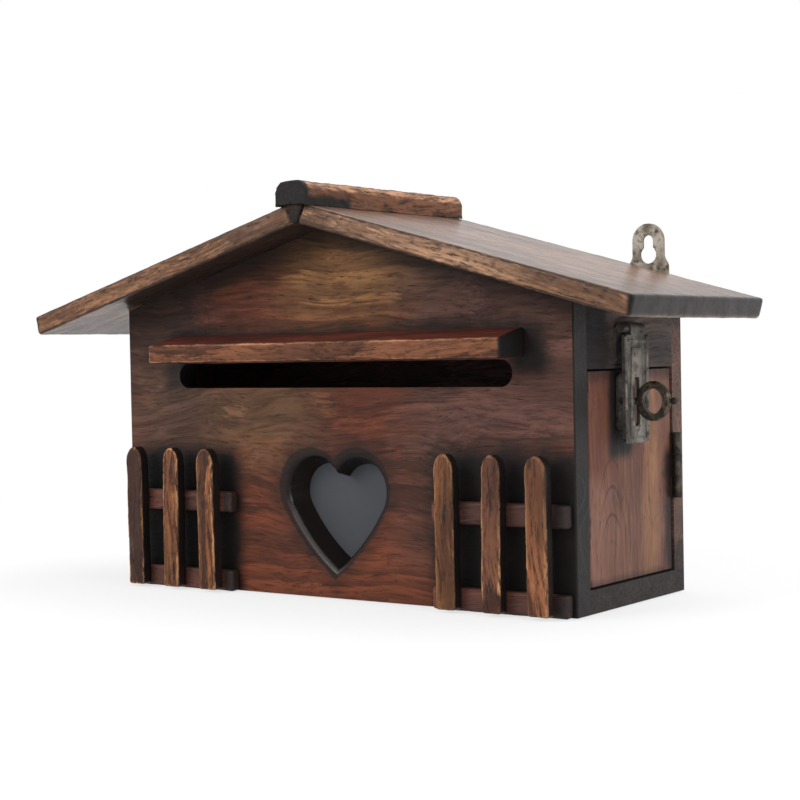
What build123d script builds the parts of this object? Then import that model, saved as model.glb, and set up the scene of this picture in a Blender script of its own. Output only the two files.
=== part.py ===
from build123d import *
import math
import os

# House-shaped desk letter box of torched boards, with a hinged side door and a hasp.
# Millimetres and degrees. X runs across the front, Y from front to back, Z up.
# The origin is the middle of the box's footprint, on the underside of the base board.

# ---------------------------------------------------------------- driving sizes
body_width = 300.0          # over the two side walls
body_depth = 116.0          # front face to back face
wall_height = 159.0         # where the roof's underside meets the side walls' outer faces
roof_pitch = 15.6           # degrees

front_board = 13.0          # board thicknesses
back_board = 11.0
base_board_thick = 12.0
side_board = 12.0
edge_round = 1.0            # worn arrises of the boards

roof_board = 11.0
eave_reach = 46.0           # sideways, past the side walls
roof_front_reach = 29.0     # past the front board
ridge_width = 20.0
ridge_rise = 13.5           # above the roof boards, at the edges of the cap
ridge_crown = 6.0           # radius of the cap's upper corners
ridge_nose = 3.0            # the cap runs this far past the roof boards at the front
keel_top = 12.0             # width of the keel between the roof boards, at their top faces
keel_bottom = 3.0           # the same at their undersides

slot_width = 225.0          # letter slot
slot_height = 14.0
slot_bottom = 113.8
slot_centre = 2.3           # the slot sits this far right of the middle
awning_length = 234.0       # the strip of wood that shelters the slot
awning_centre = 5.0
awning_reach = 24.0
awning_face = 10.0          # height of its front face
awning_slope = 5.5          # its top rises this much from the front face to the front board
awning_lift = 0.7           # its underside is this far above the slot

heart_width = 56.0          # heart-shaped window hole, at the back of the board
heart_lobe = 15.2           # radius of each lobe
heart_turn = 30.0           # degrees that a lobe runs on below its widest place
heart_drop = 36.5           # from the widest place down to the tip
heart_tip = 20.5            # height of the tip
heart_centre = 1.4
heart_flare = 1.2           # the hole is this much larger at the front
heart_flare_rise = 1.5      # and its middle lies this much higher there
heart_rim = 3.5             # radius of its rounded rim
pane_margin = 7.5           # the pane laps the hole by this much
pane_thick = 2.0
clip_size = 7.0             # glazing clips that hold the pane
clip_thick = 0.8
clip_bite = 3.0             # how far a clip goes into the board

fence_centre = 108.0        # middle of each fence, from the middle of the box
picket_width = 13.0
picket_pitch = 27.2
picket_thick = 7.5
picket_top = 80.5
picket_bottom = 1.0
picket_shoulder = 8.5       # height of the rounded point
picket_curve = (0.62, 0.7)  # a place on that point: shares of the half width and of its height
picket_lean = (0.0, -0.6, 0.5)      # degrees, each picket is nailed on a little askew
rail_length = 80.0
rail_height = 11.6
rail_thick = 6.5
rail_bottoms = (0.0, 44.2)

door_thick = 10.0
door_recess = 1.0           # behind the side wall's outer face
door_front_gap = 3.0        # beside the front board
door_end_gap = 1.2          # above the base board and under the top board
door_height = 107.6
stop_size = 9.0             # batten that the door closes against
fit_gap = 0.3               # general clearance between parts that move past each other

hinge_length = 35.0
hinge_share = 0.5186        # the hinge's middle is this share of the door's height above its lower edge
hinge_leaf = 0.6
hinge_reach = 8.5           # how far a leaf goes in along the door's edge
hinge_knuckle = 2.4         # outer radius
hinge_pin_radius = 1.1
hinge_stand = 0.4           # between the knuckles and the side wall's face
running_gap = 0.05          # radial, pin in a turning knuckle
tight_gap = 0.02            # radial, pin in a knuckle that holds it
knuckle_gap = 0.3           # along the pin, between knuckles

hasp_place = -5.5           # the hasp's middle, measured from the middle of the depth
hasp_width = 25.0
hasp_pin_share = 0.5514     # the pin is this share of the way from the top board's lower edge to its upper
hasp_pin_radius = 1.0
hasp_metal = 1.4            # thickness of the strap
hasp_curl = 3.0             # outer radius of the strap's curl, which hooks over the pin
hasp_curl_width = 10.0
hasp_stand = 0.4            # between the curl and the side wall's face
hasp_shoulder = 3.6         # the full width starts this far below the pin
hasp_rim = 1.1              # radius of the rolled long edges
hasp_corner = 4.5
hasp_slot_width = 5.2
hasp_slot_spare = 4.4       # the slot runs this much further up than the ring needs
hasp_tail = 8.6             # the strap ends this far below its slot
hasp_leaf_metal = 1.2       # the leaf behind the strap, on the top board
hasp_leaf_width = 23.0
hasp_leaf_margin = 2.4      # the leaf ends this far above the top board's lower edge
hasp_side_gap = 0.5         # between the strap's curl and the leaf's knuckles
hasp_knuckle = 2.4          # outer radius of the leaf's two knuckles

ring_below_top = 15.8       # from the door's upper edge down to the ring's middle
ring_half_height = 10.2     # outer, up and down
ring_half_reach = 9.3       # outer, away from the door
ring_wall = 3.7
ring_thick = 3.6
ring_clear = 0.4            # between the ring and the strap's face
knob_radius = 1.9           # the knob at the ring's tip
knob_reach = 4.4
knob_neck = 1.15            # radius of the neck between the ring and the knob
spindle_radius = 1.75
spindle_gap = 0.08
rivet_radius = 3.6          # the spindle's riveted end
rivet_thick = 1.4
washer_radius = 5.5
washer_thick = 1.0
rose_width = 16.0           # plate round the spindle, on the door's face
rose_margin = 0.8           # it ends this far below the door's upper edge
rose_metal = 1.2

hanger_place = 131.0        # of each hanger plate, from the middle
hanger_thick = 1.6
hanger_head = 19.0          # width
hanger_foot = 24.0
hanger_top = 200.0
hanger_bottom = 145.0
keyhole_radius = 4.9        # lets a screw's head in
keyhole_height = 183.0      # centre of that round part
keyhole_neck = 3.1          # half width of the neck, round the screw's shank
keyhole_travel = 7.5
hanger_screw_inset = 5.5    # of the foot's screws, from its sides

screw_shank = 1.1           # radii of the small wood screws
screw_head = 2.2
screw_length = 9.0
brad_radius = 0.8
brad_length = 24.0
brad_inset = 14.0           # brads stay this far from a board's end

# ---------------------------------------------------------------- places worked out from them
half_width = body_width / 2
front_y = -body_depth / 2
back_y = body_depth / 2
front_inner = front_y + front_board
back_inner = back_y - back_board
pitch_tan = math.tan(math.radians(roof_pitch))
pitch_cos = math.cos(math.radians(roof_pitch))
pitch_sin = math.sin(math.radians(roof_pitch))
side_inner = half_width - side_board
roof_lift = roof_board / pitch_cos          # roof board thickness, measured straight up
eave_x = half_width + eave_reach
roof_front = front_y - roof_front_reach

slot_top = slot_bottom + slot_height
awning_bottom = slot_top + awning_lift
heart_middle = heart_tip + heart_drop       # height of the heart's widest place
pane_back = front_inner + pane_thick

door_face = half_width - door_recess
door_inner = door_face - door_thick
door_bottom = base_board_thick + door_end_gap
door_top = door_bottom + door_height
top_board_bottom = door_top + door_end_gap
hinge_gap = 2 * hinge_leaf + fit_gap        # between the door's back edge and the back board
door_front = front_inner + door_front_gap
door_back = back_inner - hinge_gap
hinge_x = half_width + hinge_stand + hinge_knuckle
hinge_y = back_inner - hinge_gap / 2
hinge_centre = door_bottom + hinge_share * door_height
hinge_low = hinge_centre - hinge_length / 2
hinge_high = hinge_centre + hinge_length / 2

ring_height = door_top - ring_below_top
rose_height = 2 * (ring_below_top - rose_margin)
hasp_pin_height = top_board_bottom + hasp_pin_share * (wall_height - top_board_bottom)
hasp_low = hasp_place - hasp_width / 2
hasp_high = hasp_place + hasp_width / 2
hasp_pin_x = half_width + hasp_stand + hasp_curl
strap_face = hasp_pin_x + hasp_curl
strap_back = strap_face - hasp_metal
shoulder_height = hasp_pin_height - hasp_shoulder
rose_face = door_face + rose_metal
ring_x = strap_face + ring_clear + ring_half_reach
ring_swing = math.hypot(ring_x - hasp_pin_x, hasp_pin_height - ring_height)
strap_slot_low = hasp_pin_height - ring_swing - ring_half_height - 2 * fit_gap
strap_slot_high = hasp_pin_height - ring_swing + ring_half_height + hasp_slot_spare
hasp_bottom = strap_slot_low - hasp_tail

parts = {}


def under_roof(x):
    """Height of the roof boards' underside above the base, at x."""
    return wall_height + (half_width - abs(x)) * pitch_tan


def box(x0, x1, y0, y1, z0, z1):
    """A plain board between two corners."""
    return Pos((x0 + x1) / 2, (y0 + y1) / 2, (z0 + z1) / 2) * Box(x1 - x0, y1 - y0, z1 - z0)


def upright(x, y, z):
    """A plane that faces the front, with its first axis to the right and its second upwards."""
    return Plane(origin=(x, y, z), x_dir=(1, 0, 0), z_dir=(0, -1, 0))


def sideways(x, y, z):
    """A plane that faces the door side, with its first axis to the back and its second upwards."""
    return Plane(origin=(x, y, z), x_dir=(0, 1, 0), z_dir=(1, 0, 0))


def front_profile(points, y0, y1):
    """A closed outline of (x, z) points, as a solid from y0 to y1."""
    face = make_face(Polyline(*points, close=True))
    return extrude(upright(0, y1, 0) * face, amount=y1 - y0)


def side_profile(points, x0, x1):
    """A closed outline of (y, z) points, as a solid from x0 to x1."""
    face = make_face(Polyline(*points, close=True))
    return extrude(sideways(x0, 0, 0) * face, amount=x1 - x0)


def rod(start, direction, length, radius):
    """A round bar from start, along direction."""
    base = Plane(origin=start, z_dir=Vector(*direction).normalized())
    return base * Cylinder(radius, length, align=(Align.CENTER, Align.CENTER, Align.MIN))


def screw(head_place, direction):
    """A countersunk wood screw: its head's flat top is at head_place."""
    base = Plane(origin=head_place, z_dir=Vector(*direction).normalized())
    sink = screw_head - screw_shank
    head = Cone(screw_head, screw_shank, sink, align=(Align.CENTER, Align.CENTER, Align.MIN))
    shank = Cylinder(screw_shank, screw_length, align=(Align.CENTER, Align.CENTER, Align.MIN))
    return base * (head + shank)


def front_edges(solid, axis):
    """The edges along axis that lie on the solid's frontmost face."""
    front = solid.bounding_box().min.Y
    return solid.edges().filter_by(axis).filter_by(lambda edge: abs(edge.center().Y - front) < 0.01)


# ---------------------------------------------------------------- carcase
def gable(y0, y1, bottom):
    """A house-shaped board, its upper edges cut to the roof's pitch."""
    outline = [
        (-half_width, bottom),
        (half_width, bottom),
        (half_width, under_roof(half_width)),
        (0, under_roof(0)),
        (-half_width, under_roof(half_width)),
    ]
    return front_profile(outline, y0, y1)


def heart_face(y, scale, rise):
    """The window's outline at depth y: on each side a lobe arc, which runs over into a flatter arc."""
    lobe = heart_lobe * scale
    drop = heart_drop * scale
    lobe_x = heart_width * scale / 2 - lobe
    notch = math.sqrt(lobe ** 2 - lobe_x ** 2)
    turn = math.radians(heart_turn)
    spare = (lobe_x ** 2 + drop ** 2 - lobe ** 2) / (lobe + lobe_x * math.cos(turn) - drop * math.sin(turn)) / 2
    flank_radius = spare + lobe
    flank_x = lobe_x - spare * math.cos(turn)
    flank_z = spare * math.sin(turn)
    lobe_middle = (math.atan2(notch, -lobe_x) - turn) / 2
    flank_middle = -(turn + math.atan2(drop + flank_z, -flank_x)) / 2
    join = (lobe_x + lobe * math.cos(turn), -lobe * math.sin(turn))
    on_lobe = (lobe_x + lobe * math.cos(lobe_middle), lobe * math.sin(lobe_middle))
    on_flank = (flank_x + flank_radius * math.cos(flank_middle), flank_z + flank_radius * math.sin(flank_middle))
    right = [
        ThreePointArc((0, notch), on_lobe, join),
        ThreePointArc(join, on_flank, (0, -drop)),
    ]
    left = [edge.mirror(Plane.YZ) for edge in right]
    return upright(heart_centre, y, heart_middle + rise) * make_face(Curve() + right + left)


def make_front_panel():
    board = gable(front_y, front_inner, 0)
    board -= loft([heart_face(front_inner, 1, 0), heart_face(front_y, heart_flare, heart_flare_rise)], ruled=True)
    in_front = board.edges().filter_by(lambda edge: abs(edge.center().Y - front_y) < 0.01)
    rim = in_front.filter_by(lambda edge: abs(edge.center().X) < heart_width and edge.center().Z > 1)
    board = fillet(rim.filter_by(lambda edge: edge.center().Z < slot_bottom), heart_rim)
    slot_place = upright(slot_centre, front_inner, slot_bottom + slot_height / 2)
    board -= extrude(slot_place * SlotOverall(slot_width, slot_height), amount=front_board)
    return fillet(front_edges(board, Axis.Z), edge_round)


def make_side_panel():
    """The closed wall on the left."""
    outline = [
        (-half_width, base_board_thick),
        (-side_inner, base_board_thick),
        (-side_inner, under_roof(side_inner)),
        (-half_width, under_roof(half_width)),
    ]
    return front_profile(outline, front_inner, back_inner)


def make_top_board():
    """The fixed board above the door."""
    outline = [
        (side_inner, top_board_bottom),
        (half_width, top_board_bottom),
        (half_width, under_roof(half_width)),
        (side_inner, under_roof(side_inner)),
    ]
    return front_profile(outline, front_inner, back_inner)


def make_pane():
    """The dark sheet behind the heart."""
    return box(
        heart_centre - heart_width / 2 - pane_margin,
        heart_centre + heart_width / 2 + pane_margin,
        front_inner,
        pane_back,
        heart_tip - pane_margin,
        heart_middle + heart_lobe + pane_margin,
    )


def make_pane_clips():
    """Four bent steel clips that lap the pane and bite into the board beside it."""
    clips = []
    pane = parts["heart_pane"].bounding_box()
    middle = (pane.min.Z + pane.max.Z) / 2
    rise = (pane.max.Z - pane.min.Z) / 4
    for side in (-1, 1):
        edge = side * (heart_width / 2 + pane_margin)
        for height in (middle - rise, middle + rise):
            lap = Pos(0, pane_back + clip_thick / 2, 0) * Box(clip_size, clip_thick, clip_size)
            leg_deep = clip_bite + pane_thick + clip_thick
            leg = Pos(fit_gap + clip_thick / 2, pane_back + clip_thick - leg_deep / 2, 0)
            clip = lap + leg * Box(clip_thick, leg_deep, clip_size)
            if side < 0:
                clip = clip.mirror(Plane.YZ)
            clips.append(Pos(heart_centre + edge, 0, height) * clip)
    return clips


# ---------------------------------------------------------------- roof
def make_roof_panel(side):
    """One roof board, from the keel's flank to the eave, cut square to the slope at the eave."""
    outline = [
        (keel_bottom / 2, under_roof(keel_bottom / 2)),
        (eave_x, under_roof(eave_x)),
        (eave_x + roof_board * pitch_sin, under_roof(eave_x) + roof_board * pitch_cos),
        (keel_top / 2, under_roof(keel_top / 2) + roof_lift),
    ]
    board = front_profile([(side * x, z) for x, z in outline], roof_front, back_y)
    eave_edges = board.edges().filter_by(Axis.Y).filter_by(lambda edge: abs(edge.center().X) > eave_x - 1)
    return fillet(eave_edges, edge_round)


def make_ridge_cap():
    """One bar: a rounded cap over the boards and a tapered keel between them."""
    half = ridge_width / 2
    skirt = under_roof(half) + roof_lift
    top = skirt + ridge_rise
    slant = math.sqrt(0.5)
    crown_start = (half, top - ridge_crown)
    crown_middle = (half - ridge_crown * (1 - slant), top - ridge_crown * (1 - slant))
    crown_end = (half - ridge_crown, top)
    keel_low = (keel_bottom / 2, under_roof(keel_bottom / 2))
    keel_high = (keel_top / 2, under_roof(keel_top / 2) + roof_lift)
    right = [
        Polyline(keel_low, keel_high, (half, skirt), crown_start),
        ThreePointArc(crown_start, crown_middle, crown_end),
    ]
    left = [edge.mirror(Plane.YZ) for edge in right]
    closing = [
        Line(crown_end, (-crown_end[0], crown_end[1])),
        Polyline(keel_low, (0, under_roof(0)), (-keel_low[0], keel_low[1])),
    ]
    face = make_face(Curve() + right + left + closing)
    start = roof_front - ridge_nose
    bar = extrude(upright(0, back_y, 0) * face, amount=back_y - start)
    nose_cut = front_profile(
        [(-half, keel_low[1] - 1), (half, keel_low[1] - 1), (half, skirt), (0, keel_high[1]), (-half, skirt)],
        start,
        roof_front,
    )
    return bar - nose_cut


# ---------------------------------------------------------------- awning and fences
def make_awning():
    """A strip over the letter slot, whose top slopes forward to shed rain."""
    front = front_y - awning_reach
    outline = [
        (front, awning_bottom),
        (front_y, awning_bottom),
        (front_y, awning_bottom + awning_face + awning_slope),
        (front, awning_bottom + awning_face),
    ]
    half = awning_length / 2
    strip = side_profile(outline, awning_centre - half, awning_centre + half)
    strip = fillet(front_edges(strip, Axis.Z), edge_round)
    return strip


def make_picket(x, lean):
    """One picket: a slat with a rounded point, leaning by a fraction of a degree."""
    half = picket_width / 2
    height = picket_top - picket_bottom
    shoulder = height - picket_shoulder
    on_point = (half * picket_curve[0], shoulder + picket_shoulder * picket_curve[1])
    right = [
        Line((half, 0), (half, shoulder)),
        Spline((half, shoulder), on_point, (0, height), tangents=[(0, 1), (-1, 0)]),
    ]
    left = [edge.mirror(Plane.YZ) for edge in right]
    face = make_face(Curve() + right + left + [Line((-half, 0), (half, 0))])
    place = upright(x, front_y - rail_thick, picket_bottom)
    slat = extrude(place * (Rot(0, 0, lean) * face), amount=picket_thick)
    upper = slat.edges().filter_by(lambda edge: edge.center().Y < front_y - rail_thick - picket_thick + 0.01)
    slat = fillet(upper, edge_round)
    keep = box(x - half * 2, x + half * 2, front_y - rail_thick - picket_thick, front_y, 0, picket_top)
    return slat & keep


def make_fence(name, side):
    middle = side * fence_centre
    for level, bottom in zip(("lower", "upper"), rail_bottoms):
        rail = box(
            middle - rail_length / 2,
            middle + rail_length / 2,
            front_y - rail_thick,
            front_y,
            bottom,
            bottom + rail_height,
        )
        parts[f"fence_{name}_rail_{level}"] = fillet(front_edges(rail, Axis.Z), edge_round)
    for index, lean in enumerate(picket_lean):
        x = middle + (index - 1) * picket_pitch
        parts[f"fence_{name}_picket_{index + 1}"] = make_picket(x, lean)


# ---------------------------------------------------------------- door and its hinge
def spindle_hole(x0, x1):
    """The hole for the ring's spindle, from x0 to x1."""
    return rod((x0, hasp_place, ring_height), (1, 0, 0), x1 - x0, spindle_radius + spindle_gap)


def make_door():
    door = box(door_inner, door_face, door_front, door_back, door_bottom, door_top)
    outer = door.edges().filter_by(lambda edge: edge.center().X > door_face - 0.01)
    free = outer.filter_by(Axis.Z).sort_by(Axis.Y)[:1]
    door = fillet(free, edge_round)
    return door - spindle_hole(door_inner, door_face)


def make_door_stop():
    """A batten inside the front board, which the closed door rests against."""
    back = door_inner - fit_gap
    return box(back - stop_size, back, front_inner, front_inner + stop_size, base_board_thick, door_top)


def make_hinge_leaf(y0, y1, own_spans, bore_gap):
    """One leaf of the butt hinge, with the knuckles that belong to it."""
    inner_end = door_face - hinge_reach
    plate_end = hinge_x - hinge_knuckle - fit_gap
    leaf = box(inner_end, plate_end, y0, y1, hinge_low, hinge_high)
    for z0, z1 in own_spans:
        leaf += box(plate_end, hinge_x, y0, y1, z0, z1)
        leaf += rod((hinge_x, hinge_y, z0), (0, 0, 1), z1 - z0, hinge_knuckle)
    return leaf - rod((hinge_x, hinge_y, hinge_low), (0, 0, 1), hinge_length, hinge_pin_radius + bore_gap)


def make_hinge():
    third = hinge_length / 3
    outer_spans = [
        (hinge_low, hinge_low + third - knuckle_gap / 2),
        (hinge_high - third + knuckle_gap / 2, hinge_high),
    ]
    middle_span = [(hinge_low + third + knuckle_gap / 2, hinge_high - third - knuckle_gap / 2)]
    parts["door_hinge_fixed_leaf"] = make_hinge_leaf(back_inner - hinge_leaf, back_inner, outer_spans, tight_gap)
    parts["door_hinge_door_leaf"] = make_hinge_leaf(door_back, door_back + hinge_leaf, middle_span, running_gap)
    parts["door_hinge_pin"] = rod((hinge_x, hinge_y, hinge_low), (0, 0, 1), hinge_length, hinge_pin_radius)


# ---------------------------------------------------------------- hasp
def make_hasp_leaf():
    """The leaf behind the strap, screwed to the top board, with a knuckle at each end of the pin."""
    half = hasp_leaf_width / 2
    face = half_width + hasp_leaf_metal
    low = top_board_bottom + hasp_leaf_margin
    clear_top = hasp_pin_height - hasp_curl - hasp_stand
    leaf = box(half_width, face, hasp_place - half, hasp_place + half, low, clear_top)
    inner = hasp_curl_width / 2 + hasp_side_gap
    for side in (-1, 1):
        y0, y1 = sorted((hasp_place + side * inner, hasp_place + side * half))
        leaf += box(half_width, face, y0, y1, clear_top, hasp_pin_height)
        leaf += rod((hasp_pin_x, y0, hasp_pin_height), (0, 1, 0), y1 - y0, hasp_knuckle)
        leaf += box(half_width, hasp_pin_x, y0, y1, hasp_pin_height - hasp_leaf_metal, hasp_pin_height)
    bore = rod(
        (hasp_pin_x, hasp_place - half, hasp_pin_height), (0, 1, 0), hasp_leaf_width, hasp_pin_radius + tight_gap
    )
    return leaf - bore


def make_hasp_strap():
    """The slotted strap: an open curl at the top, rolled long edges and rounded lower corners."""
    strap = box(strap_back, strap_face, hasp_low, hasp_high, hasp_bottom, shoulder_height)
    corners = strap.edges().filter_by(Axis.X).filter_by(lambda edge: edge.center().Z < hasp_bottom + 0.01)
    strap = fillet(corners, hasp_corner)
    rim_low = hasp_bottom + hasp_corner
    rim_high = shoulder_height - hasp_rim
    for y in (hasp_low + hasp_rim, hasp_high - hasp_rim):
        strap += rod((strap_face, y, rim_low), (0, 0, 1), rim_high - rim_low, hasp_rim)
        strap += Pos(strap_face, y, rim_low) * Sphere(hasp_rim)
        strap += Pos(strap_face, y, rim_high) * Sphere(hasp_rim)
    half = hasp_curl_width / 2
    strap += box(
        strap_back, strap_face, hasp_place - half, hasp_place + half, shoulder_height - 1, hasp_pin_height
    )
    curl = rod((hasp_pin_x, hasp_place - half, hasp_pin_height), (0, 1, 0), hasp_curl_width, hasp_curl)
    strap += curl & box(
        hasp_pin_x - fit_gap,
        strap_face,
        hasp_place - half,
        hasp_place + half,
        hasp_pin_height - hasp_curl,
        hasp_pin_height + hasp_curl,
    )
    strap -= rod(
        (hasp_pin_x, hasp_place - half, hasp_pin_height), (0, 1, 0), hasp_curl_width, hasp_curl - hasp_metal
    )
    slot_height_here = strap_slot_high - strap_slot_low
    slot_place = sideways(strap_back, hasp_place, (strap_slot_high + strap_slot_low) / 2)
    return strap - extrude(
        slot_place * SlotOverall(slot_height_here, hasp_slot_width, rotation=90), amount=hasp_metal + hasp_rim
    )


def make_ring():
    """The turning ring on its spindle, with a small knob at the tip."""
    place = upright(ring_x, hasp_place + ring_thick / 2, ring_height)
    ring = extrude(place * Ellipse(ring_half_reach, ring_half_height), amount=ring_thick)
    ring = fillet(ring.edges(), edge_round)
    hole = Ellipse(ring_half_reach - ring_wall, ring_half_height - ring_wall)
    ring -= extrude(place * hole, amount=ring_thick)
    rivet_end = door_inner - washer_thick - fit_gap - rivet_thick
    spindle_end = ring_x - ring_half_reach + ring_wall / 2
    ring += rod((rivet_end, hasp_place, ring_height), (1, 0, 0), spindle_end - rivet_end, spindle_radius)
    ring += rod((rivet_end, hasp_place, ring_height), (1, 0, 0), rivet_thick, rivet_radius)
    tip = ring_x + ring_half_reach
    stem_start = tip - ring_wall / 2
    knob_centre = tip + knob_reach - knob_radius
    ring += rod((stem_start, hasp_place, ring_height), (1, 0, 0), knob_centre - stem_start, knob_neck)
    return ring + Pos(knob_centre, hasp_place, ring_height) * Sphere(knob_radius)


def make_washer():
    start = door_inner - washer_thick
    disc = rod((start, hasp_place, ring_height), (1, 0, 0), washer_thick, washer_radius)
    return disc - spindle_hole(start, door_inner)


def make_rose():
    """The plate round the spindle, on the door's face."""
    face = RectangleRounded(rose_width, rose_height, rose_width / 4)
    plate = extrude(sideways(door_face, hasp_place, ring_height) * face, amount=rose_metal)
    return plate - spindle_hole(door_face, rose_face)


# ---------------------------------------------------------------- hangers
def make_hanger(side):
    """A steel hanger plate: a keyhole head on a neck, over a wider foot with two screw holes."""
    head_half = hanger_head / 2
    foot_half = hanger_foot / 2
    foot_top = under_roof(hanger_place) + roof_lift
    crown = hanger_top - head_half
    outline = [
        Line((-foot_half, hanger_bottom), (foot_half, hanger_bottom)),
        Line((foot_half, hanger_bottom), (foot_half, foot_top)),
        Spline((foot_half, foot_top), (head_half, keyhole_height), tangents=[(0, 1), (0, 1)]),
        Line((head_half, keyhole_height), (head_half, crown)),
        ThreePointArc((head_half, crown), (0, hanger_top), (-head_half, crown)),
        Line((-head_half, crown), (-head_half, keyhole_height)),
        Spline((-head_half, keyhole_height), (-foot_half, foot_top), tangents=[(0, -1), (0, -1)]),
        Line((-foot_half, foot_top), (-foot_half, hanger_bottom)),
    ]
    keyhole = Pos(0, keyhole_height) * Circle(keyhole_radius)
    keyhole += Pos(0, keyhole_height + keyhole_travel / 2) * Rectangle(2 * keyhole_neck, keyhole_travel)
    keyhole += Pos(0, keyhole_height + keyhole_travel) * Circle(keyhole_neck)
    place = upright(side * hanger_place, back_y + hanger_thick, 0)
    return extrude(place * (make_face(Curve() + outline) - keyhole), amount=hanger_thick)


# ---------------------------------------------------------------- fasteners
def add_fasteners(name, fasteners, hosts):
    """Put a group of fasteners in one node, and cut their holes in the pieces they pass through."""
    for host in hosts:
        for piece in fasteners:
            parts[host] -= piece
    parts[name] = fasteners


def add_hinge_screws():
    x = door_face - hinge_reach / 2
    heights = (hinge_low + hinge_length / 5, hinge_high - hinge_length / 5)
    fixed = [screw((x, back_inner - hinge_leaf, z), (0, 1, 0)) for z in heights]
    moving = [screw((x, door_back + hinge_leaf, z), (0, -1, 0)) for z in heights]
    add_fasteners("door_hinge_fixed_screws", fixed, ("door_hinge_fixed_leaf", "back_panel"))
    add_fasteners("door_hinge_door_screws", moving, ("door_hinge_door_leaf", "door"))


def add_hasp_screws():
    leaf_face = half_width + hasp_leaf_metal
    leaf_height = (top_board_bottom + hasp_leaf_margin + hasp_pin_height - hasp_curl) / 2
    leaf_spread = hasp_leaf_width / 2 - 2 * screw_head
    leaf_screws = [
        screw((leaf_face, hasp_place + side * leaf_spread, leaf_height), (-1, 0, 0)) for side in (-1, 1)
    ]
    add_fasteners("hasp_leaf_screws", leaf_screws, ("hasp_leaf", "right_top_board"))
    rose_spread = rose_height / 2 - 2 * screw_head
    rose_screws = [
        screw((rose_face, hasp_place, ring_height + side * rose_spread), (-1, 0, 0)) for side in (-1, 1)
    ]
    add_fasteners("ring_plate_screws", rose_screws, ("ring_plate", "door"))


def add_hanger_screws():
    spread = hanger_foot / 2 - hanger_screw_inset
    low = hanger_bottom + 2 * screw_head
    screws = []
    for side in (-1, 1):
        for shift in (-spread, spread):
            screws.append(screw((side * hanger_place + shift, back_y + hanger_thick, low), (0, -1, 0)))
    add_fasteners("hanger_screws", screws, ("hanger_plate_left", "hanger_plate_right", "back_panel"))


def add_brads():
    """Headless brads that hold the carcase, driven through the back board and the front board."""
    wall_middle = half_width - side_board / 2
    base_middle = base_board_thick / 2
    low = base_board_thick + brad_inset
    high = wall_height - brad_inset
    back = [(-wall_middle, low), (-wall_middle, high), (wall_middle, high)]
    front = back + [(-wall_middle / 2, base_middle), (0, base_middle), (wall_middle / 2, base_middle)]
    brads = [rod((x, back_y, z), (0, -1, 0), brad_length, brad_radius) for x, z in back]
    brads += [rod((x, front_y, z), (0, 1, 0), brad_length, brad_radius) for x, z in front]
    hosts = ("back_panel", "front_panel", "left_side_panel", "right_top_board", "base_board")
    add_fasteners("carcase_brads", brads, hosts)


# ---------------------------------------------------------------- build
parts["base_board"] = box(-half_width, half_width, front_inner, back_y, 0, base_board_thick)
parts["front_panel"] = make_front_panel()
parts["back_panel"] = gable(back_inner, back_y, base_board_thick)
parts["left_side_panel"] = make_side_panel()
parts["right_top_board"] = make_top_board()
parts["roof_panel_left"] = make_roof_panel(-1)
parts["roof_panel_right"] = make_roof_panel(1)
parts["ridge_cap"] = make_ridge_cap()
parts["slot_awning"] = make_awning()
make_fence("left", -1)
make_fence("right", 1)
parts["heart_pane"] = make_pane()
parts["door"] = make_door()
parts["door_stop"] = make_door_stop()
make_hinge()
parts["hasp_leaf"] = make_hasp_leaf()
parts["hasp_pin"] = rod(
    (hasp_pin_x, hasp_place - hasp_leaf_width / 2, hasp_pin_height), (0, 1, 0), hasp_leaf_width, hasp_pin_radius
)
parts["hasp_strap"] = make_hasp_strap()
parts["twist_ring"] = make_ring()
parts["ring_washer"] = make_washer()
parts["ring_plate"] = make_rose()
parts["hanger_plate_left"] = make_hanger(-1)
parts["hanger_plate_right"] = make_hanger(1)
add_hinge_screws()
add_hasp_screws()
add_hanger_screws()
add_brads()
add_fasteners("pane_clips", make_pane_clips(), ("front_panel",))

os.makedirs("parts", exist_ok=True)
for name, shape in parts.items():
    if isinstance(shape, list):
        shape = Compound(children=[piece.solid() for piece in shape])
    elif len(shape.solids()) == 1:
        shape = shape.solid()
    export_step(shape, f"parts/{name}.step")
    print(name, len(shape.solids()), "solid(s)")
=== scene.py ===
# %% [markdown]
# # A desk letter box of torched boards
# The real thing is a small house: thin boards, torched until the soft wood chars, then brushed, stained
# and waxed. Letters go in under the wooden awning and come out through a door in the right side wall.
# The boards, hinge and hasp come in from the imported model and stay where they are. Blender adds the
# finishes, and carves again the pieces whose hand-worn shape a plain board can't show.

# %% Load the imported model
import math

import bpy
from mathutils import Matrix, Vector


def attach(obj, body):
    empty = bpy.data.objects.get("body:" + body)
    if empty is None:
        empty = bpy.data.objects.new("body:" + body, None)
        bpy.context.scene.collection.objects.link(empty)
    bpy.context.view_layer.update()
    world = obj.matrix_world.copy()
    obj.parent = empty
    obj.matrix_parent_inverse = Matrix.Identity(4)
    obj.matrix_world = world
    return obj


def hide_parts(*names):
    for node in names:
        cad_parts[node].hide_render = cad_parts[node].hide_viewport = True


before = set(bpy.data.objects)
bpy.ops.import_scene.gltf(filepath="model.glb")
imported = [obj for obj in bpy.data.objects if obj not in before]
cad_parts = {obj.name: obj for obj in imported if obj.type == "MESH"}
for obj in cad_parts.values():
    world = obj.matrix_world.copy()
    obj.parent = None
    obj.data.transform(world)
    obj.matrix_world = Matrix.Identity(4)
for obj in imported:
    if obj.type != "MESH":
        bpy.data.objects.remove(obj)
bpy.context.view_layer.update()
mm = 0.001

# %% [markdown]
# ## Camera
# The photograph is taken from the front and well to the right, a little above the letter slot. The
# place, turn and lens below come from a pinhole camera fitted to the box's corners in the photograph.
# Three turned axes, written as a matrix, hold the slight roll that a Track To constraint would lose.

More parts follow.
